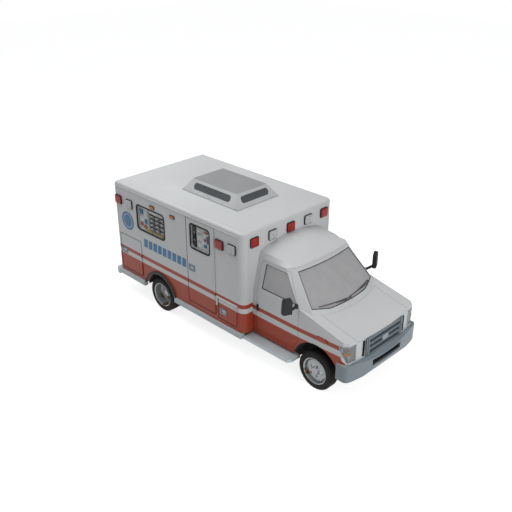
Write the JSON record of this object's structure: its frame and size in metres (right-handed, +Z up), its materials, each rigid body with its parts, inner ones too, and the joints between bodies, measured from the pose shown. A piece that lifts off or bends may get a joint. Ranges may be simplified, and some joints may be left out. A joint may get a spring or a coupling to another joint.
{
  "type": "box-bodied ambulance on a van chassis",
  "caption": "Box-bodied ambulance with a van cab, patient module, opening doors, lockers and hood, and steered and rolling wheels.",
  "frame": {"origin": "on the ground, at the centre of the overall length and width", "axes": "+X forwards, +Y to the vehicle's left, +Z up"},
  "size_m": [6.338, 2.6846, 2.81],
  "materials": {
    "body_paint": "off-white coach enamel with a brick red band",
    "frame_steel": "black chassis paint",
    "cast_iron": "cast, dull",
    "bare_steel": "plain steel tube, dulled",
    "grey_plastic": "moulded, satin grey",
    "metal_trim": "satin blue-grey",
    "clear_lens": "moulded clear polycarbonate",
    "red_lens": "moulded red polycarbonate",
    "glass": "tinted safety glass",
    "black_plastic": "moulded black",
    "seat_vinyl": "vinyl upholstery",
    "floor_vinyl": "sheet vinyl",
    "bare_aluminium": "mill finish",
    "cabinet_laminate": "white laminate",
    "tyre": "moulded rubber",
    "rim_steel": "silver painted steel, rust patches"
  },
  "bodies": {
    "chassis": {"frame_rails": "frame_steel", "frame_crossmembers": "frame_steel", "engine_block": "cast_iron", "front_axle": "frame_steel", "rear_axle": "frame_steel", "fuel_tank": "frame_steel", "exhaust_pipe": "bare_steel", "cab_shell": "body_paint", "cab_roof": "body_paint", "front_fenders": "body_paint", "header_panel": "body_paint", "grille": "grey_plastic", "front_bumper": "metal_trim", "headlights": "clear_lens", "windshield": "glass", "steps": "metal_trim", "dashboard": "black_plastic", "steering_wheel": "black_plastic", "cab_seats": "seat_vinyl", "module_floor": "floor_vinyl", "module_roof": "body_paint", "module_front_wall": "body_paint", "module_left_wall": "body_paint", "module_right_wall": "body_paint", "module_rear_frame": "body_paint", "module_window": "glass", "locker_boxes": "bare_aluminium", "rub_rails": "metal_trim", "wheel_flares": "black_plastic", "roof_air_unit": "grey_plastic", "lamp_lenses": "red_lens", "interior_cabinets": "cabinet_laminate", "bench_cushions": "seat_vinyl"},
    "hood": {"hood": "body_paint"},
    "side_entry_door": {"side_entry_door": "body_paint", "side_entry_glass": "glass"},
    "left_cab_door": {"left_cab_door": "body_paint", "left_cab_door_glass": "glass", "left_mirror": "black_plastic"},
    "left_rear_door": {"left_rear_door": "body_paint", "left_rear_door_glass": "glass"},
    "left_knuckle": {"left_knuckle": "cast_iron"},
    "left_front_wheel": {"left_front_tyre": "tyre", "left_front_rim": "rim_steel"},
    "left_rear_wheels": {"left_rear_tyres": "tyre", "left_rear_rims": "rim_steel"},
    "right_cab_door": {"right_cab_door": "body_paint", "right_cab_door_glass": "glass", "right_mirror": "black_plastic"},
    "right_rear_door": {"right_rear_door": "body_paint", "right_rear_door_glass": "glass"},
    "right_knuckle": {"right_knuckle": "cast_iron"},
    "right_front_wheel": {"right_front_tyre": "tyre", "right_front_rim": "rim_steel"},
    "right_rear_wheels": {"right_rear_tyres": "tyre", "right_rear_rims": "rim_steel"},
    "right_front_locker_door": {"right_front_locker_door": "body_paint"},
    "right_rear_locker_door": {"right_rear_locker_door": "body_paint"},
    "left_front_locker_door": {"left_front_locker_door": "body_paint"},
    "left_rear_locker_door": {"left_rear_locker_door": "body_paint"}
  },
  "joints": [
    {"name": "hood_lift", "type": "hinge", "parent": "chassis", "child": "hood", "pos_m": [2.27, 0, 1.3559], "axis": [0, -1, 0], "range_deg": [0, 50]},
    {"name": "left_cab_door_swing", "type": "hinge", "parent": "chassis", "child": "left_cab_door", "pos_m": [1.921, 0.987, 1.2], "axis": [0, 0, -1], "range_deg": [0, 65]},
    {"name": "left_rear_door_swing", "type": "hinge", "parent": "chassis", "child": "left_rear_door", "pos_m": [-3.0383, 0.637, 1.565], "axis": [0, 0, -1], "range_deg": [0, 150]},
    {"name": "right_cab_door_swing", "type": "hinge", "parent": "chassis", "child": "right_cab_door", "pos_m": [1.921, -0.987, 1.2], "axis": [0, 0, 1], "range_deg": [0, 65]},
    {"name": "right_rear_door_swing", "type": "hinge", "parent": "chassis", "child": "right_rear_door", "pos_m": [-3.0383, -0.637, 1.565], "axis": [0, 0, 1], "range_deg": [0, 150]},
    {"name": "side_entry_door_swing", "type": "hinge", "parent": "chassis", "child": "side_entry_door", "pos_m": [0.041, -1.2293, 1.545], "axis": [0, 0, 1], "range_deg": [0, 100]},
    {"name": "right_front_locker_door_swing", "type": "hinge", "parent": "chassis", "child": "right_front_locker_door", "pos_m": [0.621, -1.2293, 0.82], "axis": [0, 0, 1], "range_deg": [0, 100]},
    {"name": "right_rear_locker_door_swing", "type": "hinge", "parent": "chassis", "child": "right_rear_locker_door", "pos_m": [-2.249, -1.2293, 1.0025], "axis": [0, 0, 1], "range_deg": [0, 100]},
    {"name": "left_front_locker_door_swing", "type": "hinge", "parent": "chassis", "child": "left_front_locker_door", "pos_m": [0.621, 1.2293, 1.33], "axis": [0, 0, -1], "range_deg": [0, 100]},
    {"name": "left_rear_locker_door_swing", "type": "hinge", "parent": "chassis", "child": "left_rear_locker_door", "pos_m": [-2.249, 1.2293, 1.0025], "axis": [0, 0, -1], "range_deg": [0, 100]},
    {"name": "left_steering", "type": "hinge", "parent": "chassis", "child": "left_knuckle", "pos_m": [2.354, 0.775, 0.372], "axis": [0, 0, 1], "range_deg": [-32, 32]},
    {"name": "left_front_wheel_spin", "type": "hinge", "parent": "left_knuckle", "child": "left_front_wheel", "pos_m": [2.354, 0.894, 0.372], "axis": [0, 1, 0], "continuous": true},
    {"name": "left_rear_wheels_spin", "type": "hinge", "parent": "chassis", "child": "left_rear_wheels", "pos_m": [-1.659, 1.089, 0.372], "axis": [0, 1, 0], "continuous": true},
    {"name": "right_steering", "type": "hinge", "parent": "chassis", "child": "right_knuckle", "pos_m": [2.354, -0.775, 0.372], "axis": [0, 0, 1], "range_deg": [-32, 32]},
    {"name": "right_front_wheel_spin", "type": "hinge", "parent": "right_knuckle", "child": "right_front_wheel", "pos_m": [2.354, -0.894, 0.372], "axis": [0, 1, 0], "continuous": true},
    {"name": "right_rear_wheels_spin", "type": "hinge", "parent": "chassis", "child": "right_rear_wheels", "pos_m": [-1.659, -1.089, 0.372], "axis": [0, 1, 0], "continuous": true}
  ],
  "couplings": [
    {"joint": "right_steering", "follows": "left_steering", "ratio": 1}
  ]
}
